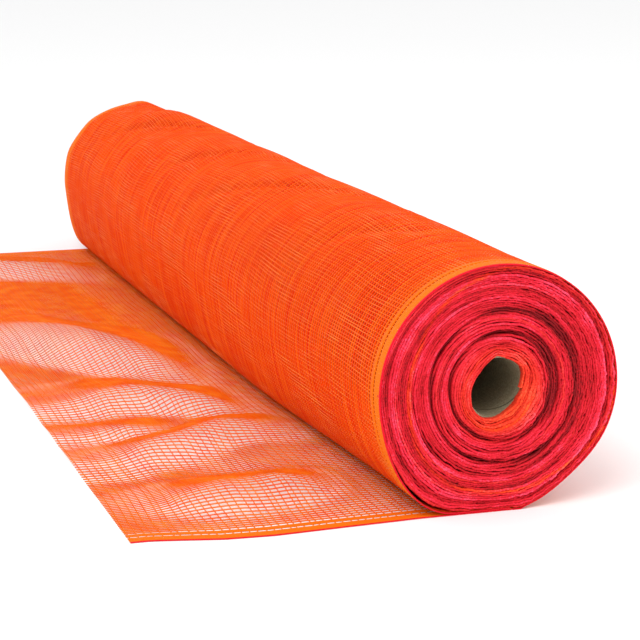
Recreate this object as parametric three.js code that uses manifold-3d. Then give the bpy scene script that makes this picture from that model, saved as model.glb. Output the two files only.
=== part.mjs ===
// A roll of knitted debris netting on a paper tube, lying on its side on a floor,
// with its free end paid out flat beside it. Millimetres, +Z up. The roll lies along Y,
// the free end points to -X, and the origin is on the floor under the middle of the roll.
import * as THREE from 'three';
import { mergeVertices } from 'three/addons/utils/BufferGeometryUtils.js';
import Module from 'manifold-3d';

const wasm = await Module();
wasm.setup();

// Driving dimensions
const netWidth = 1000; // from selvedge to selvedge, which is the length of the roll
const rollRadius = 78.5;
const restSag = 1.6; // how far the soft roll is pressed flat by its own weight
const rimRound = 3; // the softly rounded rim of the wound net
const netThickness = 0.8;
const tubeBore = 38;
const tubeWall = 2;
const tubeRecess = 6; // the tube stops this far inside each end of the wound net
const seatClearance = 0.3; // between the tube and the first turn of net
const tailReach = 230; // from the roll's axis to the cut end of the net
const turnPitch = 7; // between the gaps that show where the winding tension changed
const turnGapWidth = 1.2;
const turnGapDepth = 4;

// The last turn hangs slack on the side of the free end, less so at the near end of the roll.
// It leaves the round at this angle from +X, runs straight down at first, and bellies out
// before it lands on the net that lies under the roll. Lengths are from the roll's axis.
const slackStart = 186;
const slackLead = 36;
const slackLanding = 46;
const slackBelly = 21;
const tightLanding = 22;
const tightBelly = 30;
const slackAtNearEnd = 0.25; // share of the full slack
const slackGrowth = 350; // from the near end to where the slack is full

// Waves in the paid-out net: where the crest meets the roll side and the cut end,
// measured along Y from the near selvedge, then its height and the run of its two slopes.
const waves = [
  { rollSide: 96, cutEnd: 88, height: 9, nearRun: 66, farRun: 42 },
  { rollSide: 178, cutEnd: 192, height: 7, nearRun: 50, farRun: 44 },
  { rollSide: 318, cutEnd: 268, height: 9, nearRun: 84, farRun: 52 },
  { rollSide: 398, cutEnd: 358, height: 8, nearRun: 72, farRun: 64 },
  { rollSide: 478, cutEnd: 640, height: 14, nearRun: 150, farRun: 120 },
  { rollSide: 860, cutEnd: 975, height: 8, nearRun: 100, farRun: 24 },
];
const waveFadeStart = 58; // from the axis, where the roll's weight stops pressing the net flat
const waveFadeRun = 60;
const cutEndRun = 80; // over which the waves die down towards the cut end
const cutEndShare = 0.25; // of their height that is left there

// Facets
const roundSteps = 64;
const rimSteps = 4;
const stepsPerTurn = 36;
const tailCells = [9, 50];
const slackCells = [16, 16];

const axisHeight = rollRadius - restSag;
const tubeRadius = tubeBore / 2 + tubeWall;
const netBoreRadius = tubeRadius + seatClearance;
const halfWidth = netWidth / 2;
const pressedHalfWidth = Math.sqrt(rollRadius ** 2 - axisHeight ** 2);

// Solids and meshes
function solid(geometry) {
  const bare = geometry.clone();
  bare.deleteAttribute('normal');
  bare.deleteAttribute('uv');
  const merged = mergeVertices(bare, 1e-4);
  return new wasm.Manifold(new wasm.Mesh({
    numProp: 3,
    vertProperties: new Float32Array(merged.attributes.position.array),
    triVerts: new Uint32Array(merged.index.array),
  }));
}

function geometryOf(manifold) {
  const mesh = manifold.getMesh();
  const geometry = new THREE.BufferGeometry();
  geometry.setAttribute('position', new THREE.BufferAttribute(new Float32Array(mesh.vertProperties), 3));
  geometry.setIndex(new THREE.BufferAttribute(new Uint32Array(mesh.triVerts), 1));
  geometry.computeVertexNormals();
  return geometry;
}

// A ring about the roll's axis, whose outer rims may be rounded
function ring(innerRadius, outerRadius, length, round) {
  const half = length / 2;
  const rim = round > 0
    ? Array.from({ length: rimSteps + 1 }, (_, i) => {
      const turn = (i / rimSteps) * Math.PI / 2;
      return new THREE.Vector2(
        outerRadius - round * (1 - Math.sin(turn)),
        half - round * (1 - Math.cos(turn)),
      );
    })
    : [new THREE.Vector2(outerRadius, half)];
  const profile = [
    new THREE.Vector2(innerRadius, -half),
    ...rim.map((point) => new THREE.Vector2(point.x, -point.y)),
    ...rim.reverse(),
    new THREE.Vector2(innerRadius, half),
    new THREE.Vector2(innerRadius, -half),
  ];
  return new THREE.LatheGeometry(profile, roundSteps).translate(0, 0, axisHeight);
}

// A sheet of net as a closed solid. place gives x and z for a share of the way across it,
// a place along the roll, and 0 for its inner or lower face or 1 for its outer or upper one.
function sheet([cellsAcross, cellsAlong], length, place) {
  const geometry = new THREE.BoxGeometry(1, length, 1, cellsAcross, cellsAlong, 1);
  const position = geometry.attributes.position;
  for (let i = 0; i < position.count; i++) {
    const y = position.getY(i);
    const [x, z] = place(position.getX(i) + 0.5, y, Math.round(position.getZ(i) + 0.5));
    position.setXYZ(i, x, y, z);
  }
  return solid(geometry);
}

// The gap between turns as it shows on an end: a narrow spiral from the tube out to the rim
function turnGap(endY) {
  const firstRadius = netBoreRadius + turnPitch / 2;
  const lastRadius = rollRadius - rimRound - turnPitch / 2;
  const turns = (lastRadius - firstRadius) / turnPitch;
  const steps = Math.round(turns * stepsPerTurn);
  const side = (offset) => Array.from({ length: steps + 1 }, (_, i) => {
    const share = i / steps;
    const radius = firstRadius + share * (lastRadius - firstRadius) + offset;
    const angle = share * turns * 2 * Math.PI;
    return new THREE.Vector2(radius * Math.cos(angle), radius * Math.sin(angle));
  });
  const outline = new THREE.Shape([...side(turnGapWidth / 2), ...side(-turnGapWidth / 2).reverse()]);
  const cut = new THREE.ExtrudeGeometry(outline, { depth: 2 * turnGapDepth, bevelEnabled: false });
  return solid(cut.rotateX(Math.PI / 2).translate(0, endY + turnGapDepth, axisHeight));
}

// The slack last turn, from under the roll out to its landing and up to where it joins the round
function slackTurn() {
  const start = THREE.MathUtils.degToRad(slackStart);
  const outward = new THREE.Vector2(Math.cos(start), Math.sin(start));
  const downward = new THREE.Vector2(-outward.y, outward.x);
  const flatShare = 0.25;
  return sheet(slackCells, netWidth - 2 * rimRound, (share, y, side) => {
    const grown = THREE.MathUtils.smoothstep(y + halfWidth, 0, slackGrowth);
    const slack = THREE.MathUtils.lerp(slackAtNearEnd, 1, grown);
    const depth = (1 - side) * netThickness;
    const landing = new THREE.Vector2(
      -THREE.MathUtils.lerp(tightLanding, slackLanding, slack),
      netThickness + depth,
    );
    if (share < flatShare) {
      const hidden = -pressedHalfWidth / 2;
      return [THREE.MathUtils.lerp(hidden, landing.x, share / flatShare), landing.y];
    }
    const belly = landing.clone();
    belly.x -= THREE.MathUtils.lerp(tightBelly, slackBelly, slack) - depth;
    const from = outward.clone().multiplyScalar(rollRadius - depth);
    from.y += axisHeight;
    const lead = from.clone().addScaledVector(downward, slackLead);
    const curve = new THREE.CubicBezierCurve(landing, belly, lead, from);
    const point = curve.getPoint((share - flatShare) / (1 - flatShare));
    return [point.x, point.y];
  });
}

// How high the paid-out net stands off the floor at a place on it
function waveHeight(x, y) {
  const outward = THREE.MathUtils.clamp(-x / tailReach, 0, 1);
  const loose = THREE.MathUtils.smoothstep(-x, waveFadeStart, waveFadeStart + waveFadeRun);
  const fromCutEnd = THREE.MathUtils.smoothstep(x + tailReach, 0, cutEndRun);
  let height = 0;
  for (const wave of waves) {
    const crest = THREE.MathUtils.lerp(wave.rollSide, wave.cutEnd, outward) - halfWidth;
    const run = y < crest ? wave.nearRun : wave.farRun;
    const share = Math.min(1, Math.abs(y - crest) / run);
    height = Math.max(height, wave.height * Math.cos(share * Math.PI / 2) ** 2);
  }
  return height * loose * THREE.MathUtils.lerp(cutEndShare, 1, fromCutEnd);
}

// The paid-out net, from the cut end to under the roll
function tail() {
  return sheet(tailCells, netWidth, (share, y, side) => {
    const x = THREE.MathUtils.lerp(-tailReach, pressedHalfWidth / 2, share);
    return [x, waveHeight(x, y) + side * netThickness];
  });
}

function woundNet() {
  const belowFloor = new THREE.BoxGeometry(4 * rollRadius, 2 * netWidth, rollRadius)
    .translate(0, 0, -rollRadius / 2);
  return solid(ring(netBoreRadius, rollRadius, netWidth, rimRound))
    .subtract(turnGap(-halfWidth))
    .subtract(turnGap(halfWidth))
    .subtract(solid(belowFloor))
    .add(slackTurn())
    .add(tail());
}

// The two pieces
const netMaterial = new THREE.MeshStandardMaterial({ color: 0xff5a16, roughness: 0.6, metalness: 0 });
const paperMaterial = new THREE.MeshStandardMaterial({ color: 0x9a8a6c, roughness: 0.9, metalness: 0 });

const net = new THREE.Mesh(geometryOf(woundNet()), netMaterial);
net.name = 'debris_net';

const tube = new THREE.Mesh(ring(tubeBore / 2, tubeRadius, netWidth - 2 * tubeRecess, 0), paperMaterial);
tube.name = 'paper_tube';

const roll = new THREE.Group();
roll.add(net, tube);

export default roll;
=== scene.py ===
# %% [markdown]
# # A roll of debris netting
# This lesson dresses a simple solid model as a roll of orange knitted netting, of the kind that
# is tied to scaffolding to catch falling rubble. The real net is one long sheet, a metre wide,
# wound on a paper tube. Its free end lies on the floor, runs under the roll and becomes the
# outermost turn. A picture of a mesh on a smooth cylinder would look right from one place only,
# so here every thread is a rod of its own, and all rods are laid along the path of the net.

# %% Load the solid model
import math

import bpy
import numpy as np
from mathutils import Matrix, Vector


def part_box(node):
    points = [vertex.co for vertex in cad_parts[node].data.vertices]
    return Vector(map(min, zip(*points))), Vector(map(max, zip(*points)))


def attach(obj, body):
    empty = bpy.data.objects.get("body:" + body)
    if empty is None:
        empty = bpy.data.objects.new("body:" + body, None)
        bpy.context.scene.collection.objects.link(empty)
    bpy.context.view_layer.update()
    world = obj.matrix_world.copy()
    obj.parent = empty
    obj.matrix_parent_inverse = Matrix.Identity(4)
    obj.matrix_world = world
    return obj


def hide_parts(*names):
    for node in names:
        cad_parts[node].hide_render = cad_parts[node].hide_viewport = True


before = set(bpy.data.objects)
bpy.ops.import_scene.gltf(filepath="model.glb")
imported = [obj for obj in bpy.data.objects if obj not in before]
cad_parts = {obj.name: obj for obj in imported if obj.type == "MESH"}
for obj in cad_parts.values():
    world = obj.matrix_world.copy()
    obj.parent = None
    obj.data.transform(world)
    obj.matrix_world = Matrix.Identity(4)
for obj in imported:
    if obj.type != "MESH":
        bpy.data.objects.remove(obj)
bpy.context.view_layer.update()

# %% [markdown]
# ## Camera
# The view is along the roll from beside its free end, a little above it, through a long lens, so
# that the near end shows as a disc and the far end is much smaller. The place, the angles and
# the lens come from fitting the outline of the disc and the long edges of the roll. A camera set
# by eye would be quicker, but then every later piece would be slightly off as well.

# %% Camera
MM = 0.001
camera_place = (-482.7, -1649.6, 381.4)  # mm
camera_down = 11.86  # degrees below level
camera_turn = -17.72  # degrees from looking along the roll
camera_lens = 118.125  # mm, on the usual 36 mm sensor
far_clip = 50  # metres

bpy.ops.object.camera_add(
    location=[x * MM for x in camera_place],
    rotation=(math.radians(90 - camera_down), 0, math.radians(camera_turn)),
)
camera = bpy.context.object
camera.name = "camera"
camera.data.lens = camera_lens
camera.data.clip_end = far_clip
bpy.context.scene.camera = camera
bpy.context.scene.view_settings.view_transform = "Standard"
print("camera stands at", tuple(camera.location))

# %% [markdown]
# ## Sizes
# The outer sizes are read from the box of the solid model, so that the looks fit it whatever its
# size. The rest are real sizes of such a net: a pillar of stitches every 4.15 mm across it, and
# a weft, the thread that joins the pillars, every 5 mm along it.

# %% Sizes
net_low, net_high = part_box("debris_net")
tube_low, tube_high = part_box("paper_tube")

radius = net_high[0]
half_width = net_high[1]
width = 2 * half_width
reach = -net_low[0]  # from the roll's axis to the cut end of the net
axis_height = net_high[2] - radius
tube_radius = tube_high[0]

pillar_pitch = 4.15 * MM
weft_pitch = 5 * MM
selvedge = 16 * MM  # the dense edge of the net
net_thickness = 1 * MM
turn_pitch = 1.36 * MM  # from one turn to the next where the roll is wound tight
random = np.random.default_rng(7)
print("roll radius", round(radius / MM, 1), "mm, axis at", round(axis_height / MM, 1), "mm")

# %% [markdown]
# ## Small helpers
# Cloth has no hard steps, so everything that shapes the net starts and ends softly. Three small
# functions do this: a soft step from 0 to 1, a soft bump, and a random field. The field adds a
# few crossing waves with seeded random directions, so it is the same on each run.

# %% Soft steps, soft bumps and a soft random field
def smooth_step(x, low, high):
    t = np.clip((x - low) / (high - low), 0, 1)
    return t * t * (3 - 2 * t)


def mix(a, b, share):
    return a + (b - a) * share


def bump(x, centre, spread):
    return np.exp(-(((x - centre) / spread) ** 2))


def smooth_field(a, b, size_a, size_b, seed, waves=9):
    """About -2 to 2, with hills of size_a along a and size_b along b."""
    draw = np.random.default_rng(seed)
    total = np.zeros(np.broadcast(a, b).shape)
    for _ in range(waves):
        across = draw.uniform(-1, 1) * 2 * math.pi / size_a
        along = draw.uniform(-1, 1) * 2 * math.pi / size_b
        total = total + np.sin(a * across + b * along + draw.uniform(0, 2 * math.pi))
    return total / math.sqrt(waves)


print("a bump one spread from its centre is", round(float(bump(1, 0, 1)), 2))

# %% [markdown]
# ## The paid-out net on the floor
# The free end of the real net doesn't lie flat: low waves run from the roll to the cut end, as in
# cloth that has been wound unevenly. A cloth simulation would make waves too, but not these ones.
# So each wave gets the line of its crest and its height at five stations, and its two slopes
# fall off as a squared cosine. Where waves meet, the higher one wins.

# %% Waves of the paid-out net
# Each wave: where its crest lies, from the near selvedge, and its height, both at five stations
# from the cut end towards the roll, then the runs of its near and far slopes, all in mm.
wave_stations = np.array([-230, -190, -150, -115, -80]) * MM
floor_waves = [
    ((88, 88, 90, 94, 96), (1, 3, 8, 8, 5), 60, 42),
    ((200, 198, 215, 240, 250), (5, 6.5, 7, 8, 6), 55, 44),
    ((262, 258, 256, 256, 256), (6, 6, 2, 0, 0), 40, 40),
    ((345, 347, 350, 325, 305), (7, 8, 9, 8, 5), 60, 80),
    ((640, 600, 540, 500, 475), (8, 13, 14, 10, 5), 150, 120),
    ((975, 955, 935, 917, 900), (8, 8, 8, 8, 8), 100, 24),
]
pressed_flat = 58 * MM  # from the axis; the weight of the roll holds the net down up to here
fully_loose = 118 * MM
cut_end_run = 80 * MM  # the waves die down over this run towards the cut end


def wave_height(x, y, cut_end_share=0.25):
    """Height above the floor, of which cut_end_share is left at the cut end."""
    loose = smooth_step(-x, pressed_flat, fully_loose)
    loose = loose * mix(cut_end_share, 1, smooth_step(x + reach, 0, cut_end_run))
    height = np.zeros(np.broadcast(x, y).shape)
    for crests, heights, near_run, far_run in floor_waves:
        crest = np.interp(x, wave_stations, crests) * MM - half_width
        tall = np.interp(x, wave_stations, heights) * MM
        run = np.where(y < crest, near_run, far_run) * MM
        share = np.minimum(1, np.abs(y - crest) / run)
        height = np.maximum(height, tall * np.cos(share * math.pi / 2) ** 2)
    return height * loose


def dimple_height(x, y):
    """A low hump where the slack side of the roll has pushed the net together."""
    away = np.hypot(x + 72 * MM, 0.8 * (y + 268 * MM))
    return 2.4 * MM * np.exp(-((away / (24 * MM)) ** 2))


print("waves on the floor", len(floor_waves))

# %% [markdown]
# ## The wound net
# A roll of soft net isn't a clean cylinder. Slack creeps along it and gathers in folds that
# slant over the top, each a crest with a valley behind it, and beyond that the net swells. The
# near end sags at its lower right, and the far end has blunt corners. One function gives the
# radius at any angle and place along the roll, and every piece below uses it.

# %% Folds over the top of the roll
# Each fold: where its crest meets the top line, from the middle of the roll towards the far
# end, how far it slants to the far end for each degree down the left side, the height of its
# crest, the depth of the valley behind it, and how far the net beyond that swells, in mm.
top_folds = [
    (240, 2.9, 2.0, 3.6, 6.5),
    (36, 1.9, 2.0, 3.4, 3.4),
    (-190, 3.3, 1.6, 3.0, 3.0),
    (-390, 2.0, 0.6, 1.2, 2.8),
]
top_line = 88  # degrees from +X, where the top of the roll meets the background
crest_place, crest_run = -11, 11  # mm behind the fold's line, and half width
valley_place, valley_run = 9, 13
swell_place, swell_run = 90, 66
folds_at, folds_spread = 97, 30  # degrees
folds_rim = 35 * MM  # the folds start this far inside each end


def fold_height(degrees, y):
    total = np.zeros(np.broadcast(degrees, y).shape)
    for crest, slant, tall, deep, swell in top_folds:
        behind = y / MM - crest - slant * (degrees - top_line)
        total = total + tall * bump(behind, crest_place, crest_run)
        total = total - deep * bump(behind, valley_place, valley_run)
        total = total + swell * bump(behind, swell_place, swell_run)
    faded = smooth_step(half_width - abs(y), 0, folds_rim)
    return total * MM * bump(degrees, folds_at, folds_spread) * faded


print("folds over the top", len(top_folds))

# %% The outline of the roll
near_sag, sag_at, sag_spread = 3.6 * MM, -50, 22  # the sag and its angle, in degrees
near_run, far_run, end_margin = 260 * MM, 320 * MM, 20 * MM
# Blunt corners of the far end: angle in degrees and height in mm
far_corners = [(84, 3.0), (128, 0.8), (158, 1.0), (190, 0.6), (20, 0.8)]
corner_spread, between_corners = 9, 0.6  # degrees, and mm that the net falls in elsewhere
top_drop, crease_depth = 0.7, 0.6  # mm
top_at, top_spread, top_fade = 95, 48, 60 * MM  # degrees, and how the top fades in at the near end
rim_fall, rim_run = 0.4 * MM, 5 * MM  # the soft rims draw in a little


def round_shape(angle, y):
    """The radius of the wound net at an angle from +X, in radians, and a place along it."""
    degrees = np.degrees(angle)
    near = smooth_step(-y, half_width - near_run, half_width - end_margin)
    far = smooth_step(y, half_width - far_run, half_width - end_margin)
    shape = np.full(np.broadcast(angle, y).shape, radius - net_thickness / 2)
    shape = shape - near_sag * bump(degrees, sag_at, sag_spread) * near
    for corner, tall in far_corners:
        shape = shape + (tall * bump(degrees, corner, corner_spread) - between_corners) * MM * far
    top = bump(degrees, top_at, top_spread) * smooth_step(y + half_width, 0, top_fade)
    creases = smooth_field(y + 0.5 * angle * radius, angle * radius, 0.13, 0.9, 3)
    shape = shape + top * (crease_depth * creases - top_drop) * MM + fold_height(degrees, y)
    rim = half_width - np.abs(y)
    return shape - rim_fall * (1 - smooth_step(rim, 0, rim_run))


print("radius at the top middle", round(float(round_shape(math.pi / 2, 0.0)) / MM, 1), "mm")

# %% [markdown]
# ## The path of the net
# A real net is flat before it is rolled, so every piece is first made flat, with its place u
# across the net and its distance v from the cut end, and then laid along this path: over the
# waves on the floor, under the roll, up its far side, over the top, and down a slack belly that
# lands on the net again. Working the path out for each vertex would be slow, so it is worked
# out once, as a table of points and of directions that the net faces.

# %% Lengths along the path
slack_from = math.radians(186)  # where the last turn leaves the round
contact = math.sqrt(radius**2 - axis_height**2)  # half the width that is pressed to the floor
lift_off = -math.acos(contact / radius)
tail_length = reach + contact
round_length = (slack_from - lift_off) * radius
belly_length = 92 * MM
hidden_length = 40 * MM  # under the roll again
net_length = tail_length + round_length + belly_length + hidden_length
step_v = 2.5 * MM
step_u = 5 * MM
print("path", round(net_length, 3), "m, of which on the floor", round(tail_length, 3), "m")

# %% The slack belly
slack_near, slack_grows = 0.25, 350 * MM  # share of the slack at the near end, and its growth
slack_lead = 36 * MM  # how far the net runs straight down at first
landing_tight, landing_slack = 22, 46  # mm from the axis
spread_tight, spread_slack = 30, 21  # mm that the curve bellies out beyond its landing
landing_height = 1.5 * MM


def belly_curve(share, y):
    """A Bezier curve from the round down to where the net lands."""
    slack = mix(slack_near, 1, smooth_step(y + half_width, 0, slack_grows))
    start_radius = round_shape(slack_from, y)
    out_x, out_z = math.cos(slack_from), math.sin(slack_from)
    start = (out_x * start_radius, axis_height + out_z * start_radius)
    lead = (start[0] - out_z * slack_lead, start[1] + out_x * slack_lead)
    landing = (-mix(landing_tight, landing_slack, slack) * MM, landing_height)
    spread = (landing[0] - mix(spread_tight, spread_slack, slack) * MM, landing_height)
    keep = 1 - share
    weights = (keep**3, 3 * keep**2 * share, 3 * keep * share**2, share**3)
    points = (start, lead, spread, landing)
    x = sum(w * p[0] for w, p in zip(weights, points))
    z = sum(w * p[1] for w, p in zip(weights, points))
    return x, z


# %% Lay the path as a table of points
def path_point(v, y):
    """x and z of the middle of the net, at a distance v from its cut end."""
    x_floor = np.minimum(v - reach, contact)
    z_floor = wave_height(x_floor, y) + dimple_height(x_floor, y) + net_thickness / 2
    angle = lift_off + np.clip(v - tail_length, 0, round_length) / radius
    shape = round_shape(angle, y)
    x_round = shape * np.cos(angle)
    z_round = np.maximum(axis_height + shape * np.sin(angle), net_thickness / 2)
    share = np.clip((v - tail_length - round_length) / belly_length, 0, 1)
    x_belly, z_belly = belly_curve(share, y)
    x_belly = x_belly + np.maximum(v - (net_length - hidden_length), 0)
    on_floor = v <= tail_length
    on_round = v <= tail_length + round_length
    x = np.where(on_floor, x_floor, np.where(on_round, x_round, x_belly))
    z = np.where(on_floor, z_floor, np.where(on_round, z_round, z_belly))
    return x, z


table_u = np.arange(0, width + step_u / 2, step_u)
table_v = np.arange(0, net_length + step_v, step_v)
grid_u, grid_v = np.meshgrid(table_u, table_v, indexing="ij")
path_x, path_z = path_point(grid_v, grid_u - half_width)
path = np.stack([path_x, grid_u - half_width, path_z], axis=-1)
facing = np.cross(np.gradient(path, axis=0), np.gradient(path, axis=1))
facing /= np.linalg.norm(facing, axis=-1, keepdims=True)
print("table of the path", path.shape)

# %% [markdown]
# ## How the mesh is pulled about
# The pillars of the paid-out net aren't evenly spaced. On slopes that face the camera they are
# spread and the floor shows through, and elsewhere they lie close together. Moving each pillar
# by hand isn't needed: the net is stretched where it is open and drawn in where it isn't, added
# up across the net, which gives one more table of how far each place slides sideways.

# %% How far the mesh of the paid-out net is pulled open
open_slope = (0.015, 0.11)  # rise over run at which the mesh starts to open and is fully open
stretch_most = 0.5


def pulled_open(x, y):
    """0 where the pillars lie close together and 1 where they are spread, on the near slopes."""
    step = 2 * MM
    slope = (wave_height(x, y + step, 1) - wave_height(x, y - step, 1)) / (2 * step)
    drift = 0.3 * smooth_field(x, y, 0.09, 0.12, 41)
    share = np.clip(smooth_step(slope, *open_slope) + drift, 0, 1)
    return share * smooth_step(-x, 64 * MM, 130 * MM)


slide_step = 5 * MM
slide_v = np.arange(0, tail_length + 10 * MM, slide_step)
slide_u, slide_along = np.meshgrid(table_u, slide_v, indexing="ij")
opened = pulled_open(slide_along - reach, slide_u - half_width)
inner = (np.minimum(slide_u, width - slide_u) > selvedge).astype(float)
average = (opened * inner).sum(axis=0) / inner.sum(axis=0)
stretch = 1 + stretch_most * (opened - average) * inner
summed = np.cumsum((stretch[1:] + stretch[:-1]) / 2, axis=0) * step_u
slid = np.vstack([np.zeros_like(average), summed])
slid = slid + slide_u * (1 - slid[-1] / width) - slide_u
print("pillars slide by up to", round(np.abs(slid).max() / MM, 1), "mm")

# %% Read the tables and lay the net
# How far the near selvedge of the free end strays from a straight line, in mm
wander_v = [0, 12, 30, 55, 85, 130, 180]
wander_y = [6, 6, 2, -4, -6, -3, 0]
wander_inwards = 60 * MM


def read_table(table, u, v, step_along):
    """Values between the points of a table."""
    a = np.clip(u / step_u, 0, table.shape[0] - 1.001)
    b = np.clip(v / step_along, 0, table.shape[1] - 1.001)
    i, j = a.astype(int), b.astype(int)
    a, b = a - i, b - j
    if table.ndim == 3:
        a, b = a[:, None], b[:, None]
    near = mix(table[i, j], table[i + 1, j], a)
    far = mix(table[i, j + 1], table[i + 1, j + 1], a)
    return mix(near, far, b)


def slide(u, v):
    return read_table(slid, u, v, slide_step) * (v < tail_length)


def lay(u, v, lift):
    """Places of the laid net. lift is outwards on the roll, and so downwards on the floor."""
    place = read_table(path, u, v, step_v)
    out = read_table(facing, u, v, step_v)
    out /= np.linalg.norm(out, axis=1, keepdims=True)
    wander = np.interp(v / MM, wander_v, wander_y) * MM
    place[:, 1] += u - np.clip(u, 0, width)
    place[:, 1] += wander * (1 - smooth_step(u, 0, wander_inwards))
    return place + out * lift[:, None]


middle_of_cut_end = lay(np.array([half_width]), np.array([0.0]), np.array([0.0]))
print("middle of the cut end lies at", middle_of_cut_end.round(3))

# %% [markdown]
# ## Colours and nodes
# Screen colours are written as hex and turned to linear light by one function, because Blender
# mixes light and not screen values. One small function adds a shader node with its settings,
# values and links, so that each material below reads as a short list.

# %% Colour and node helpers
def linear(hex_colour):
    parts = [int(hex_colour[i : i + 2], 16) / 255 for i in (1, 3, 5)]
    parts = [c / 12.92 if c <= 0.04045 else ((c + 0.055) / 1.055) ** 2.4 for c in parts]
    return (*parts, 1)


def add_node(tree, kind, values=None, links=None, **settings):
    made = tree.nodes.new(kind)
    for name, value in settings.items():
        setattr(made, name, value)
    for socket, value in (values or {}).items():
        made.inputs[socket].default_value = value
    for socket, source in (links or {}).items():
        tree.links.new(source, made.inputs[socket])
    return made


def set_stops(colour_ramp, stops):
    """Stops of a colour ramp: hex colours, or plain linear shares that darken what is there."""
    elements = colour_ramp.color_ramp.elements
    while len(elements) < len(stops):
        elements.new(0.5)
    for element, (place, colour) in zip(elements, stops):
        element.position = place
        element.color = linear(colour) if isinstance(colour, str) else (*colour, 1)
    return colour_ramp.outputs["Color"]


def start_material(name):
    material = bpy.data.materials.new(name)
    material.use_nodes = True
    return material, material.node_tree, material.node_tree.nodes["Principled BSDF"]


def finish_surface(tree, surface, colour, height, relief, values):
    """Join a colour and a relief, given as strength and depth, and set the plain values."""
    strength, depth = relief
    bumped = add_node(
        tree, "ShaderNodeBump", {"Strength": strength, "Distance": depth}, {"Height": height}
    )
    tree.links.new(colour, surface.inputs["Base Color"])
    tree.links.new(bumped.outputs["Normal"], surface.inputs["Normal"])
    for socket, value in values.items():
        surface.inputs[socket].default_value = value


print("orange in linear light", [round(c, 3) for c in linear("#f4600c")])

# %% [markdown]
# ## The net's plastic
# The net is knitted from HDPE thread: a dyed plastic with a soft satin gloss, drawn into fine
# tape and looped. Thin threads let light through, so the lit ones glow light orange and the
# shaded ones turn red. One function makes the material three times, for pillars, wefts and the
# paid-out net. Its pattern follows the net's own map, in metres across and along the net, so
# that it runs with the threads over every bend.

# %% Knitted HDPE, orange
# Bands along both selvedges, from and to a distance from the edge in mm: the dense edge is a
# lighter orange, and its outermost yarn is crimson.
edge_bands = [(26, 8, "#f27410"), (1.9, 1.3, "#e0142c")]
stitch_scale = 200  # bands 1.6 mm apart, one for each stitch of a pillar
hdpe_satin = {
    "Roughness": 0.6,  # satin: a drawn thread scatters light along its length
    "Specular IOR Level": 0.15,  # low, because threads this thin show hardly any highlight
    "Specular Tint": linear("#ff9450"),  # keeps the white studio from greying the orange
    "Sheen Roughness": 0.5,
    "Sheen Tint": linear("#ffb070"),  # loose fibres along the thread catch light at the rim
}


def knitted_orange(name, deep, bright, grain, sheen):
    """grain is how finely the tone changes across and along the net, in steps to the metre."""
    material, tree, surface = start_material(name)
    net_map = add_node(tree, "ShaderNodeUVMap", uv_map="net").outputs["UV"]
    parts = add_node(tree, "ShaderNodeSeparateXYZ", links={"Vector": net_map})
    drawn = add_node(tree, "ShaderNodeMapping", {"Scale": (*grain, 1)}, {"Vector": net_map})
    tone = add_node(
        tree, "ShaderNodeTexNoise", {"Scale": 1, "Detail": 2}, {"Vector": drawn.outputs[0]}
    )
    tone_ramp = add_node(tree, "ShaderNodeValToRGB", links={"Fac": tone.outputs["Fac"]})
    colour = set_stops(tone_ramp, [(0.3, deep), (0.7, bright)])
    centred = add_node(
        tree, "ShaderNodeMath", {1: half_width}, {0: parts.outputs["X"]}, operation="SUBTRACT"
    )
    from_middle = add_node(
        tree, "ShaderNodeMath", None, {0: centred.outputs[0]}, operation="ABSOLUTE"
    )
    for start, end, band_colour in edge_bands:
        share = add_node(
            tree,
            "ShaderNodeMapRange",
            {"From Min": half_width - start * MM, "From Max": half_width - end * MM},
            {"Value": from_middle.outputs[0]},
            interpolation_type="SMOOTHSTEP",
        )
        band = add_node(
            tree,
            "ShaderNodeMix",
            None,
            {"Factor": share.outputs[0]},
            data_type="RGBA",
        )
        tree.links.new(colour, band.inputs[6])
        band.inputs[7].default_value = linear(band_colour)
        colour = band.outputs[2]
    stitches = add_node(
        tree,
        "ShaderNodeTexWave",
        {"Scale": stitch_scale, "Distortion": 2, "Detail": 1},
        {"Vector": net_map},
        wave_type="BANDS",
        bands_direction="Y",
    )
    satin = {**hdpe_satin, "Sheen Weight": sheen}
    finish_surface(tree, surface, colour, stitches.outputs["Fac"], (0.5, 0.25 * MM), satin)
    return material


# Pillars change tone from one to the next, every 4 mm, and wefts along the net, every 4 mm too.
pillar_orange = knitted_orange("knitted HDPE pillars", "#e42e00", "#f4600c", (240, 10), 0.12)
weft_orange = knitted_orange("knitted HDPE wefts", "#ec4c08", "#f87c28", (30, 260), 0.12)
loose_orange = knitted_orange("paid out knitted HDPE", "#ee5808", "#f47c1c", (60, 60), 0)
print("materials", pillar_orange.name, weft_orange.name, loose_orange.name)

# %% [markdown]
# ## The layers seen through the mesh
# Through the holes of the outermost turn the eye sees more turns of the same net. Modelling all
# of them would take millions of faces that hardly show. One sheet just beneath stands for them,
# with stripes at nearly the pitch of the mesh: where its stripes line up with the threads above,
# the net looks open and dark, and elsewhere it looks closed, as on the real roll. The dark red of
# the stripes is painted shade of the holes that reach into the deeper turns.

# %% The turns under the outermost one
layer_stripes = (pillar_pitch * 1.012, weft_pitch * 0.99)  # slightly off, so that they drift
layer_drift = (30 * MM, 20 * MM)


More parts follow.
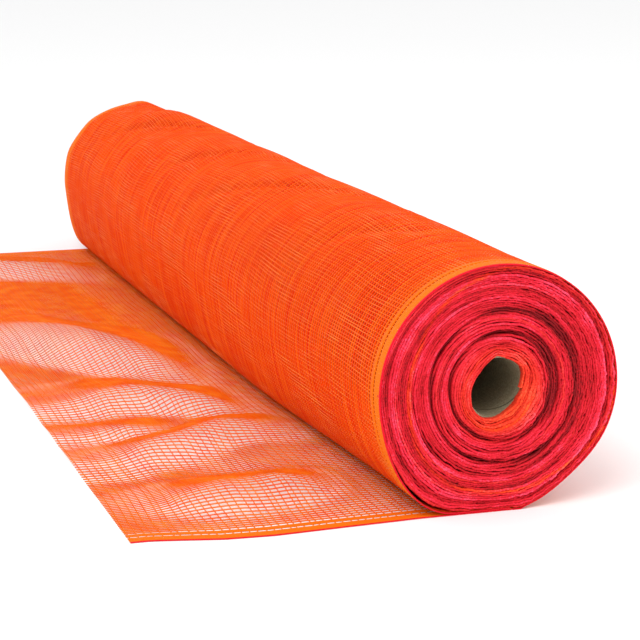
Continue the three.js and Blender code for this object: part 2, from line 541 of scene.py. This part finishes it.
def layered_orange_with_hole_shade():
    material, tree, surface = start_material("layers of knitted HDPE with painted hole shade")
    net_map = add_node(tree, "ShaderNodeUVMap", uv_map="net").outputs["UV"]
    # The layers creep against each other over some 170 mm.
    drift = add_node(tree, "ShaderNodeTexNoise", {"Scale": 6, "Detail": 2}, {"Vector": net_map})
    parts = add_node(tree, "ShaderNodeSeparateXYZ", links={"Vector": net_map})
    stripes = []
    for axis, pitch, amount in zip("XY", layer_stripes, layer_drift):
        moved = add_node(
            tree,
            "ShaderNodeMath",
            {1: amount},
            {0: drift.outputs["Fac"], 2: parts.outputs[axis]},
            operation="MULTIPLY_ADD",
        )
        turned = add_node(
            tree,
            "ShaderNodeMath",
            {1: 2 * math.pi / pitch},
            {0: moved.outputs[0]},
            operation="MULTIPLY",
        )
        stripe = add_node(
            tree, "ShaderNodeMath", None, {0: turned.outputs[0]}, operation="SINE"
        )
        stripes.append(stripe.outputs[0])
    both = add_node(
        tree, "ShaderNodeMath", None, {0: stripes[0], 1: stripes[1]}, operation="MAXIMUM"
    )
    share = add_node(
        tree,
        "ShaderNodeMapRange",
        {"From Min": -1, "From Max": 1},
        {"Value": both.outputs[0]},
    ).outputs[0]
    # Painted shade: the stripes turn dark red where they stand for holes that reach the deeper
    # turns, outside the closed patches.
    painted_shade_ramp = add_node(tree, "ShaderNodeValToRGB", links={"Fac": share})
    stripes_with_hole_shade = set_stops(painted_shade_ramp, [(0.35, "#c81c00"), (0.62, "#d83000"), (0.85, "#ee4808")])
    # Closed patches some 90 mm across, where the layers block each other's holes.
    patches = add_node(tree, "ShaderNodeTexNoise", {"Scale": 11, "Detail": 1}, {"Vector": net_map})
    closed = add_node(
        tree,
        "ShaderNodeMapRange",
        {"From Min": 0.62, "From Max": 0.42},
        {"Value": patches.outputs["Fac"]},
    )
    blend = add_node(
        tree, "ShaderNodeMix", None, {"Factor": closed.outputs[0]}, data_type="RGBA"
    )
    tree.links.new(stripes_with_hole_shade, blend.inputs[6])
    blend.inputs[7].default_value = linear("#ea4004")
    # Deep in the mesh light is scattered many times, so it looks matt.
    matt = {"Roughness": 0.8, "Specular IOR Level": 0.1}
    finish_surface(tree, surface, blend.outputs[2], share, (0.7, 0.6 * MM), matt)
    return material


layers_orange_with_hole_shade = layered_orange_with_hole_shade()
print("material", layers_orange_with_hole_shade.name)

# %% [markdown]
# ## The crimson edges
# The outermost yarn of the selvedge is crimson, so the end of the roll shows crimson turns, with
# orange where a turn lies a little deeper and its net shows. Seen close it is a fuzzy, fibrous
# surface. Tone and warmth change from turn to turn, which no plain noise can follow, so they are
# stored in a map on the mesh, and the material adds the fuzz and a painted shade that darkens each
# turn's edge towards the gaps between turns. The stored tone carries painted shade as well.

# %% Crimson edges of the turns
fuzz_scale = 800  # one tuft in 1.25 mm; real fibres are far finer, but wouldn't show
cloud_scale = 70  # soiling and pressure change over some 14 mm
# Where the stored tone is low these ramps reach their dark ends as painted shade, and where it is
# high their light ends as painted highlight; fuzz and cloud add random tone.
crimson_stops = [(0.0, "#840812"), (0.3, "#c81220"), (0.6, "#e62038"), (0.95, "#fa5c80")]
orange_stops = [(0.0, "#8c0c02"), (0.3, "#d02006"), (0.6, "#ee400c"), (0.95, "#fa7424")]
# Painted shade of the gaps between turns: how far the colour darkens from the bottom of a turn's
# edge to its top.
gap_shade_stops = [(0.0, (0.6, 0.4, 0.4)), (0.7, (0.75, 0.6, 0.6)), (0.93, (1, 1, 1))]


def edge_crimson():
    material, tree, surface = start_material("crimson selvedge yarn with painted gap shade")
    depth_map = add_node(tree, "ShaderNodeUVMap", uv_map="depth").outputs["UV"]
    deep = add_node(tree, "ShaderNodeSeparateXYZ", links={"Vector": depth_map})
    tone_map = add_node(tree, "ShaderNodeUVMap", uv_map="tone").outputs["UV"]
    tones = add_node(tree, "ShaderNodeSeparateXYZ", links={"Vector": tone_map})
    place = add_node(tree, "ShaderNodeTexCoord").outputs["Object"]
    fuzz = add_node(
        tree,
        "ShaderNodeTexNoise",
        {"Scale": fuzz_scale, "Detail": 3, "Roughness": 0.7},
        {"Vector": place},
    ).outputs["Fac"]
    cloud = add_node(
        tree, "ShaderNodeTexNoise", {"Scale": cloud_scale, "Detail": 2}, {"Vector": place}
    ).outputs["Fac"]
    level = tones.outputs["X"]
    for pattern, amount in ((fuzz, 1.3), (cloud, 0.7)):
        level = add_node(
            tree, "ShaderNodeMath", {1: amount}, {0: pattern, 2: level}, operation="MULTIPLY_ADD"
        ).outputs[0]
    level = add_node(
        tree, "ShaderNodeMapRange", {"From Min": 0.9, "From Max": 2.1}, {"Value": level}
    ).outputs[0]
    cool = set_stops(add_node(tree, "ShaderNodeValToRGB", links={"Fac": level}), crimson_stops)
    warm = set_stops(add_node(tree, "ShaderNodeValToRGB", links={"Fac": level}), orange_stops)
    blend = add_node(
        tree, "ShaderNodeMix", None, {"Factor": tones.outputs["Y"]}, data_type="RGBA"
    )
    tree.links.new(cool, blend.inputs[6])
    tree.links.new(warm, blend.inputs[7])
    # Painted shade, multiplied in: darker low in each turn's edge, towards the gaps between turns.
    painted_shade_ramp = add_node(tree, "ShaderNodeValToRGB", links={"Fac": deep.outputs["X"]})
    shaded = add_node(
        tree, "ShaderNodeMix", {"Factor": 1}, data_type="RGBA", blend_type="MULTIPLY"
    )
    tree.links.new(blend.outputs[2], shaded.inputs[6])
    tree.links.new(set_stops(painted_shade_ramp, gap_shade_stops), shaded.inputs[7])
    # A cut and looped yarn is matt, with a faint gloss on single fibres.
    fibrous = {"Roughness": 0.75, "Specular IOR Level": 0.25}
    finish_surface(tree, surface, shaded.outputs[2], fuzz, (0.9, 0.5 * MM), fibrous)
    return material


selvedge_crimson = edge_crimson()
print("material", selvedge_crimson.name)

# %% [markdown]
# ## Threads
# A knitted pillar is a chain of loops, and a weft a straight thread between the pillars. From
# this distance both read as thin rods. Curves would do as well, but thousands of them are slow
# to turn into meshes. So one thread is a four-sided rod, cut into short lengths so that it can
# bend, and an array copies it as often as the net needs it. Each copy is then moved to its real
# place across the net, and the flat net is laid along the path.

# %% Mesh helpers
def only(piece):
    bpy.ops.object.select_all(action="DESELECT")
    piece.select_set(True)
    bpy.context.view_layer.objects.active = piece


def smooth(piece):
    only(piece)
    bpy.ops.object.shade_smooth()


def mesh_points(piece):
    points = np.empty(len(piece.data.vertices) * 3, dtype=np.float32)
    piece.data.vertices.foreach_get("co", points)
    return points.reshape(-1, 3).astype(float)


def shape_mesh(piece, points):
    piece.data.vertices.foreach_set("co", np.asarray(points, dtype=np.float32).ravel())
    piece.data.update()


def set_map(piece, name, across, along):
    """A UV map from a pair of numbers for each vertex."""
    corners = np.empty(len(piece.data.loops), dtype=np.int32)
    piece.data.loops.foreach_get("vertex_index", corners)
    layer = piece.data.uv_layers.get(name) or piece.data.uv_layers.new(name=name)
    pairs = np.stack([across, along], axis=1).astype(np.float32)
    layer.data.foreach_set("uv", pairs[corners].ravel())


# %% Make a flat row of threads
far_apart = 20 * MM  # between the threads of a flat row, so that each vertex tells its thread


def flat_threads(name, count, section, start, length, cuts, drop_under):
    """Rods along Y, side by side along X, all flat, from start to start + length."""
    wide, thick = section
    bpy.ops.object.select_all(action="DESELECT")
    bpy.ops.mesh.primitive_cylinder_add(
        vertices=4,
        radius=1 / math.sqrt(2),
        depth=1,
        end_fill_type="NGON",
        location=(0, 0, 0),
        rotation=(math.pi / 2, math.pi / 4, 0),
    )
    thread = bpy.context.object
    thread.name = name
    bpy.ops.object.transform_apply(location=True, rotation=True, scale=True)
    bpy.ops.object.mode_set(mode="EDIT")
    bpy.ops.mesh.select_all(action="SELECT")
    bpy.ops.transform.resize(value=(wide, length, thick))
    bpy.ops.transform.translate(value=(0, start + length / 2, 0))
    bpy.ops.mesh.select_mode(type="EDGE")
    bpy.ops.mesh.select_all(action="DESELECT")
    bpy.ops.object.mode_set(mode="OBJECT")
    for edge in thread.data.edges:
        ends = [thread.data.vertices[i].co for i in edge.vertices]
        edge.select = abs(ends[0].y - ends[1].y) > length / 2
    bpy.ops.object.mode_set(mode="EDIT")
    bpy.ops.mesh.subdivide(number_cuts=cuts)
    bpy.ops.mesh.select_mode(type="FACE")
    bpy.ops.mesh.select_all(action="DESELECT")
    bpy.ops.object.mode_set(mode="OBJECT")
    if drop_under:  # the underside of a thread on the roll is never seen
        for face in thread.data.polygons:
            face.select = face.normal.z < -0.5
        bpy.ops.object.mode_set(mode="EDIT")
        bpy.ops.mesh.delete(type="ONLY_FACE")
        bpy.ops.object.mode_set(mode="OBJECT")
    array = thread.modifiers.new("row", "ARRAY")
    array.count = count
    array.use_relative_offset = False
    array.use_constant_offset = True
    array.constant_offset_displace = (far_apart, 0, 0)
    only(thread)
    bpy.ops.object.modifier_apply(modifier="row")
    return thread


def thread_numbers(flat):
    """Which thread each vertex belongs to, and how far it is to the side of the thread."""
    which = np.round(flat[:, 0] / far_apart).astype(int)
    return which, flat[:, 0] - which * far_apart


def lay_threads(piece, u, v, lift, finish):
    set_map(piece, "net", u, v)
    shape_mesh(piece, lay(u, v, lift))
    piece.data.materials.append(finish)


# %% Where the pillars stand
# Six close pillars form the selvedge, then there is a narrow open strip and three more, in mm.
selvedge_pillars = np.array([0.6, 2.2, 3.8, 5.4, 7.0, 8.6, 12.8, 14.3, 15.8]) * MM
after_selvedge = 4.4 * MM


def pillar_places():
    first = selvedge_pillars[-1] + after_selvedge
    count = int((width - 2 * first) / pillar_pitch)
    middle = np.linspace(first, width - first, count + 1)
    return np.concatenate([selvedge_pillars, middle, width - selvedge_pillars[::-1]])


places_across = pillar_places()
print("pillars across the net", len(places_across))

# %% Lay pillars
pillar_wander = 0.35 * MM


def laid_pillars(name, start, end, cuts, lift, section, finish, drop_under=False):
    count = len(places_across)
    piece = flat_threads(name, count, section, start, end - start, cuts, drop_under)
    flat = mesh_points(piece)
    which, off = thread_numbers(flat)
    u = places_across[which]
    v = flat[:, 1]
    wander = pillar_wander * smooth_field(u, v, 0.09, 0.12, 11)
    off_selvedge = np.minimum(u, width - u) > selvedge
    u = u + off + wander * off_selvedge + slide(u, v)
    lay_threads(piece, u, v, flat[:, 2] + lift, finish)
    return piece


# %% Lay wefts
weft_jitter = 0.18  # share of the pitch by which a weft strays as a whole
weft_wander = 1.1 * MM
weft_cuts = 199  # a joint every 5 mm across the net


def laid_wefts(name, start, end, section, finish, pitch, ride_over=0, drop_under=False):
    """Wefts side by side along the net. Some ride over the pillars in places."""
    count = int((end - start) / pitch)
    piece = flat_threads(name, count, section, 0, width, weft_cuts, drop_under)
    flat = mesh_points(piece)
    which, off = thread_numbers(flat)
    jitter = random.uniform(-weft_jitter, weft_jitter, count) * pitch
    u = flat[:, 1]
    v = start + (which + 0.5) * pitch + jitter[which]
    v = v + weft_wander * smooth_field(u, v, 0.12, 0.05, 21) + off
    rise = ride_over * smooth_field(u, v, 0.05, 0.012, 23)
    lay_threads(piece, u, v, flat[:, 2] + rise, finish)
    return piece


# %% [markdown]
# ## The paid-out net
# The free end on the floor is all open mesh. From a low angle its threads hide the holes where
# the cloth slopes away from the eye, and the floor shows through where it slopes towards it. An
# image with transparent holes would shimmer and wouldn't export well, so pillars and wefts are
# rods here too, joined into one piece because the real free end is one piece.

# %% The paid-out net
tail_end = tail_length - 4 * MM
tail_cuts = 47  # a joint every 5 mm along the net
open_pillar = (1.0 * MM, 0.5 * MM)  # width and thickness of a pillar that lies loose
open_weft = (0.6 * MM, 0.35 * MM)
paid_out_net = laid_pillars("paid_out_net", 0, tail_end, tail_cuts, 0, open_pillar, loose_orange)
tail_wefts = laid_wefts("paid_out_wefts", 0, tail_end, open_weft, loose_orange, weft_pitch)
bpy.ops.object.select_all(action="DESELECT")
tail_wefts.select_set(True)
paid_out_net.select_set(True)
bpy.context.view_layer.objects.active = paid_out_net
bpy.ops.object.join()
smooth(paid_out_net)
print("paid-out net", len(paid_out_net.data.polygons), "faces")

# %% [markdown]
# ## The outermost turn
# On the roll two turns of net show at once, so the wefts look twice as close as on the floor.
# Pillars are pressed flat and wide, and wefts ride over them in places, which gives the light
# dashes that cross the roll. Beneath lies one sheet that stands for all deeper turns.

# %% The outermost turn
turn_start = tail_length - 6 * MM
turn_end = net_length - 4 * MM
turn_cuts = 99  # again a joint every 5 mm
pillar_lift = 0.1 * MM
wound_pillar = (1.15 * MM, 0.75 * MM)
wound_weft = (0.6 * MM, 0.4 * MM)
outer_pillars = laid_pillars(
    "outer_turn_pillars",
    turn_start,
    turn_end,
    turn_cuts,
    pillar_lift,
    wound_pillar,
    pillar_orange,
    drop_under=True,
)
outer_wefts = laid_wefts(
    "outer_turn_wefts",
    turn_start,
    turn_end,
    wound_weft,
    weft_orange,
    weft_pitch / 2,
    ride_over=0.22 * MM,
    drop_under=True,
)
smooth(outer_pillars)
smooth(outer_wefts)
print("outer turn", len(outer_pillars.data.polygons), len(outer_wefts.data.polygons), "faces")

# %% The turns beneath
layer_depth = 0.7 * MM
layer_margin = 1 * MM  # the sheet stops just inside the outermost yarn
layer_cells = (200, 180)  # across and along the net
bpy.ops.object.select_all(action="DESELECT")
bpy.ops.mesh.primitive_grid_add(
    x_subdivisions=layer_cells[0], y_subdivisions=layer_cells[1], size=1
)
turns_beneath = bpy.context.object
turns_beneath.name = "turns_beneath"
flat = mesh_points(turns_beneath)
layer_u = (flat[:, 0] + 0.5) * width
layer_v = mix(turn_start, turn_end, flat[:, 1] + 0.5)
set_map(turns_beneath, "net", layer_u, layer_v)
laid_u = mix(layer_margin, width - layer_margin, layer_u / width)
shape_mesh(turns_beneath, lay(laid_u, layer_v, np.full_like(laid_u, -layer_depth)))
turns_beneath.data.materials.append(layers_orange_with_hole_shade)
smooth(turns_beneath)
print("turns beneath", len(turns_beneath.data.polygons), "faces")

# %% [markdown]
# ## The ends of the turns
# Some forty turns can be told apart at each end, as one long spiral of soft selvedge. The real
# net may have more, where two lie close. Rings would be easier, but the eye follows a spiral and
# notices when it closes. So a flat strip is curled over into a rounded edge, wound into a spiral,
# and pushed about: turns bunch together, stand out and fall back, and deep gaps run round where
# the winding was loose.

# %% Sizes of the wound ends
first_radius = tube_radius - 2 * MM
last_radius = radius - 1.0 * MM
turn_count = round((last_radius - first_radius) / turn_pitch)
# Section of one turn's edge: share of the turn pitch to the side, and height in mm
edge_profile = [
    (-0.58, -8.0),
    (-0.56, -1.2),
    (-0.36, -0.3),
    (0.0, 0.0),
    (0.36, -0.3),
    (0.56, -1.2),
    (0.58, -8.0),
]
edge_rows = len(edge_profile) - 1
# Loose bands: middle as a share of the radius and how it moves to the right and up, half width
# in mm, extra half width and the angle where it is widest, depth in mm, and how much painted
# shade darkens the gap.
loose_bands = [
    (0.435, 0.025, 0.015, 1.4, 3.6, 5, 3.6, 0.75),
    (0.610, 0.045, 0.013, 1.3, 1.8, 40, 2.8, 0.6),
    (0.725, 0.005, 0.030, 0.5, 1.6, 0, 1.2, 0.45),
    (0.810, 0.000, 0.000, 0.8, 3.0, 180, 0.4, 0.25),
]
print("turns at each end", turn_count)

# %% The mouth and the orange line
# The innermost turn has sagged over the tube: its radius in mm at each angle in degrees
mouth_angles = np.radians(
    [0, 12, 20, 42, 62, 78, 87, 96, 115, 138, 160, 180, 194, 208, 225, 245, 262, 283, 307, 333, 360]
)
mouth_radii = np.array(
    [14.8, 16.3, 17.3, 19.7, 20.1, 20.0, 21.2, 22.2, 19.7, 17.7, 17.8]
    + [18.8, 19.1, 20.3, 20.2, 19.7, 18.2, 15.2, 13.5, 13.2, 14.8]
)
# One turn shows its orange net: its radius as a share of the roll's at each angle
orange_angles = np.radians([-20, 40, 75, 90, 111, 135, 150, 187, 217, 254, 300, 340])
orange_radii = [0.99, 0.99, 0.985, 0.945, 0.877, 0.80, 0.75, 0.745, 0.795, 0.83, 0.86, 0.99]


# %% Room inside the outermost turn
def room_inside(angle, side):
    """How far the outermost turn is from the axis, at each angle of one end."""
    row = path[1 if side < 0 else -2]
    on_roll = grid_v[0] > tail_length - 8 * MM
    right, up = row[on_roll, 0], row[on_roll, 2] - axis_height
    around = np.unwrap(np.arctan2(up, right)) % (2 * math.pi)
    far = np.hypot(right, up)
    order = np.argsort(around)
    limit = np.interp(angle % (2 * math.pi), around[order], far[order], period=2 * math.pi)
    plain = round_shape((angle + math.pi) % (2 * math.pi) - math.pi, side * half_width)
    floor_limit = (axis_height - 1.5 * MM) / np.maximum(-np.sin(angle), 0.1)
    return np.minimum(mix(plain, limit, 0.7), floor_limit)


# %% How the turns are pushed about
def unevenness(wound, turns, angle, seed):
    """How far each bit strays from its place in the spiral and stands out of the end, in mm.

    Turns bunch over 6 mm, ripple over 14 mm, and single stitches show over 3 mm. All these
    sizes are in metres, as the map they are read on. Each turn also jumps in or out as a whole.
    """
    ring_x, ring_y = np.cos(angle), np.sin(angle)
    bunch = smooth_field(wound + 0.004 * ring_x, 0.02 * ring_y, 0.006, 0.05, seed)
    ripple = smooth_field(angle * wound, wound, 0.014, 0.005, seed + 3, 12)
    stitch = smooth_field(angle * wound, wound, 0.0028, 0.002, seed + 1, 14)
    rise = smooth_field(wound + 0.01 * ring_y, 0.03 * ring_x, 0.007, 0.06, seed + 2)
    per_turn = np.random.default_rng(seed).normal(0, 1, turn_count + 3)
    low_turn = np.floor(turns).astype(int)
    jump = mix(per_turn[low_turn], per_turn[low_turn + 1], smooth_step(turns % 1, 0, 1))
    strays = 0.35 * bunch + 0.22 * ripple + 0.14 * stitch
    stands_out = 0.6 * rise + 0.5 * jump + 0.25 * stitch + 0.3 * ripple
    return strays, stands_out, jump


def loosen(place, out, wound, angle):
    """Part the turns at the loose bands, let them fall in there, and paint shade into the gaps."""
    dark = np.zeros_like(wound)
    for middle, right, up, half, extra, widest, deep, gap_shade_amount in loose_bands:
        line = (middle + right * np.cos(angle) + up * np.sin(angle)) * radius
        turn_to = np.clip(np.cos(angle - math.radians(widest)), 0, 1) ** 2
        near = (wound - line) / ((half + extra * turn_to) * MM)
        place = place + 0.2 * half * MM * np.tanh(near) * np.exp(-(near**2) / 9)
        out = out - deep * MM * np.exp(-(near**2))
        # Painted shade, darkest in the middle of each loose gap.
        dark = dark + gap_shade_amount * np.exp(-(near**2))
    return place, out, dark


# %% Tone and warmth of the turns
def turn_colours(wound, turns, angle, jump, dark, seed):
    """Tone from dark to light, and warmth from crimson to orange."""
    # Painted light and shade: tone follows each turn's jump, so turns that stand out are lighter
    # and turns set back darker. The field adds a random tone, and dark is painted shade of the
    # loose gaps.
    tone = 0.52 + 0.14 * jump + 0.1 * smooth_field(turns, np.cos(angle), 2.2, 1.1, seed + 9)
    share_out = wound / radius
    orange_line = np.interp(angle, orange_angles, orange_radii, period=2 * math.pi)
    lower_right = 0.5 + 0.5 * np.cos(angle + math.radians(50))
    warmth = mix(0.35, 0.85, lower_right) * (1 - smooth_step(share_out, 0.28, 0.45))
    streaks = smooth_field(turns, 0.3 * angle, 1.7, 2.5, seed + 5)
    warmth = warmth + 0.35 * smooth_step(streaks, 0.6, 1.6)
    warmth = warmth + 0.9 * np.exp(-(((share_out - orange_line) / 0.013) ** 2))
    return tone - dark, np.clip(warmth, 0, 1)


# %% Wind the selvedge into a spiral
proud_most = 0.9 * MM  # the most that a turn stands out of the end
over_tube_most = 5.6 * MM  # how deep the net may fall in over the tube, just clear of its end
falls_back = 1.5 * MM
rim_lift = 0.9 * MM
mouth_lift = 1.2 * MM
rim_gap = 0.5 * MM


def wound_edges(name, side, cuts):
    """The ends of all turns. side is -1 for the near end and 1 for the far end."""
    bpy.ops.object.select_all(action="DESELECT")
    bpy.ops.mesh.primitive_grid_add(x_subdivisions=cuts, y_subdivisions=edge_rows, size=1)
    piece = bpy.context.object
    piece.name = name
    flat = mesh_points(piece)
    across = np.round((flat[:, 1] + 0.5) * edge_rows).astype(int)
    offset, height = np.array(edge_profile)[across].T
    height = height * MM
    wound = np.sqrt(mix(first_radius**2, last_radius**2, flat[:, 0] + 0.5))
    turns = (wound - first_radius) / (last_radius - first_radius) * turn_count
    angle = turns * 2 * math.pi

    seed = 31 if side < 0 else 57
    strays, stands_out, jump = unevenness(wound, turns, angle, seed)
    radial = wound + offset * turn_pitch * 1.03
    place = radial + strays * MM
    out = height + stands_out * MM - falls_back
    out = out + rim_lift * smooth_step(wound, 0.8 * radius, last_radius)
    place, out, dark = loosen(place, out, wound, angle)
    out = out + mouth_lift * (1 - smooth_step(wound, first_radius, first_radius + 6 * MM))

    core = 1 - smooth_step(radial, first_radius, first_radius + 11 * MM)
    mouth = np.interp(angle % (2 * math.pi), mouth_angles, mouth_radii) * MM
    place = place + (mouth - first_radius) * core
    limit = room_inside(angle, side) - rim_gap
    grip = np.clip(place / last_radius, 0, 1) ** 5
    place = place * mix(1, limit / last_radius, grip)
    over_tube = place < tube_radius + 0.8 * MM
    out = np.where(over_tube, np.maximum(out, -over_tube_most), np.minimum(out, proud_most))

    x = place * np.cos(angle)
    y = side * (half_width + out)
    z = axis_height + place * np.sin(angle)
    shape_mesh(piece, np.stack([x, y, z], axis=1))
    # How deep each row of a turn's edge lies, which sets its painted shade.
    gap_shade_depth = np.clip(1 + height / (5 * MM), 0, 1)
    set_map(piece, "depth", gap_shade_depth, gap_shade_depth)
    tone, warmth = turn_colours(wound, turns, angle, jump, dark, seed)
    set_map(piece, "tone", tone, warmth)
    piece.data.materials.append(selvedge_crimson)
    if side < 0:  # wound the same way, so the near strip faces inwards until it is turned
        only(piece)
        bpy.ops.object.mode_set(mode="EDIT")
        bpy.ops.mesh.select_all(action="SELECT")
        bpy.ops.mesh.flip_normals()
        bpy.ops.object.mode_set(mode="OBJECT")
    smooth(piece)
    return piece


near_steps = 10500  # along the spiral, about 1.2 mm each, because this end is seen close
far_steps = 7000
near_edges = wound_edges("near_turn_edges", -1, near_steps)
far_edges = wound_edges("far_turn_edges", 1, far_steps)
print("turn ends", len(near_edges.data.polygons), len(far_edges.data.polygons), "faces")

# %% [markdown]
# ## The paper tube
# The net is wound on a tube of kraft board: strips of brown-grey paper, glued in a spiral, whose
# butted edges leave a fine seam. The solid model already has the right ring, so only its finish
# changes. The seam is drawn by angle and length along the tube, so that it closes on itself.

# %% Paper tube
strip_width = 70 * MM  # length of tube in which a strip goes round once
board_grain = 700  # fibre clumps 1.4 mm apart; single fibres wouldn't show
seam_stops = [(0.0, (0.35,) * 3), (0.012, (0.35,) * 3), (0.03, (1.0,) * 3)]
board_stops = [(0.3, "#857b60"), (0.55, "#a0957a"), (0.75, "#bcb090")]


def kraft_board():
    material, tree, surface = start_material("spiral wound kraft board")
    place = add_node(tree, "ShaderNodeTexCoord").outputs["Object"]
    parts = add_node(tree, "ShaderNodeSeparateXYZ", links={"Vector": place})
    above_axis = add_node(
        tree, "ShaderNodeMath", {1: axis_height}, {0: parts.outputs["Z"]}, operation="SUBTRACT"
    )
    around = add_node(
        tree,
        "ShaderNodeMath",
        links={0: above_axis.outputs[0], 1: parts.outputs["X"]},
        operation="ARCTAN2",
    )
    turned = add_node(
        tree, "ShaderNodeMath", {1: 0.5 / math.pi}, {0: around.outputs[0]}, operation="MULTIPLY"
    )
    along = add_node(
        tree,
        "ShaderNodeMath",
        {1: 1 / strip_width},
        {0: parts.outputs["Y"], 2: turned.outputs[0]},
        operation="MULTIPLY_ADD",
    )
    ply = add_node(tree, "ShaderNodeMath", links={0: along.outputs[0]}, operation="FRACT")
    seam_ramp = add_node(tree, "ShaderNodeValToRGB", links={"Fac": ply.outputs[0]})
    seam = set_stops(seam_ramp, seam_stops)
    grain = add_node(
        tree,
        "ShaderNodeTexNoise",
        {"Scale": board_grain, "Detail": 4, "Roughness": 0.7},
        {"Vector": place},
    )
    board_ramp = add_node(tree, "ShaderNodeValToRGB", links={"Fac": grain.outputs["Fac"]})
    seamed = add_node(
        tree, "ShaderNodeMix", {"Factor": 1}, data_type="RGBA", blend_type="MULTIPLY"
    )
    tree.links.new(set_stops(board_ramp, board_stops), seamed.inputs[6])
    tree.links.new(seam, seamed.inputs[7])
    # Uncoated paper: hardly any gloss.
    uncoated = {"Roughness": 0.9, "Specular IOR Level": 0.2}
    finish_surface(tree, surface, seamed.outputs[2], seam, (0.6, 0.3 * MM), uncoated)
    return material


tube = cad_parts["paper_tube"]
tube.data.materials.clear()
tube.data.materials.append(kraft_board())
print("tube", tube.name)

# %% [markdown]
# ## What each piece stands for
# All six pieces of net stand for the one solid net and move with the only body. The real net is
# cloth of a known flat size.

# %% Ride and replace
net_pieces = [paid_out_net, outer_pillars, outer_wefts, turns_beneath, near_edges, far_edges]
for piece in net_pieces:
    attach(piece, "root")
    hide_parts("debris_net")
print("pieces of net", len(net_pieces))

# %% [markdown]
# ## Floor and light
# The roll lies in a white studio with hardly any shadow. A strong lamp would darken one side, so
# most light comes from the white world all round, with a large soft lamp on the side of the free
# end and a weaker one on the other side, and a pale matt floor that takes the soft shadow.

# %% Floor
def pale_floor():
    material, _, surface = start_material("pale studio floor")
    surface.inputs["Base Color"].default_value = (0.92, 0.92, 0.92, 1)
    surface.inputs["Roughness"].default_value = 0.9
    return material


bpy.ops.object.select_all(action="DESELECT")
bpy.ops.mesh.primitive_plane_add(size=40, location=(0, 0, 0))
floor = bpy.context.object
floor.name = "studio_floor"
floor.data.materials.append(pale_floor())
print("floor", floor.name)

# %% Light
lamp_size = 2.0  # metres, much larger than the roll, so that its shadow is soft


def soft_light(name, place, aim, power):
    bpy.ops.object.light_add(type="AREA", location=place)
    light = bpy.context.object
    light.name = name
    light.data.size = lamp_size
    light.data.energy = power
    way = np.array(aim, dtype=float) - np.array(place, dtype=float)
    flat_way = math.hypot(way[0], way[1])
    tilt = math.atan2(flat_way, -way[2])
    light.rotation_euler = (tilt, 0, math.atan2(way[1], way[0]) - math.pi / 2)


soft_light("key light", (-1.6, -2.2, 2.6), (0, -0.1, 0.05), 60)
soft_light("fill light", (1.8, -1.6, 1.6), (0, 0, 0.05), 14)
world = bpy.data.worlds.new("white studio")
bpy.context.scene.world = world
world.use_nodes = True
sky = world.node_tree.nodes["Background"]
sky.inputs["Color"].default_value = (1, 1, 1, 1)
sky.inputs["Strength"].default_value = 1.0
print("world", world.name)
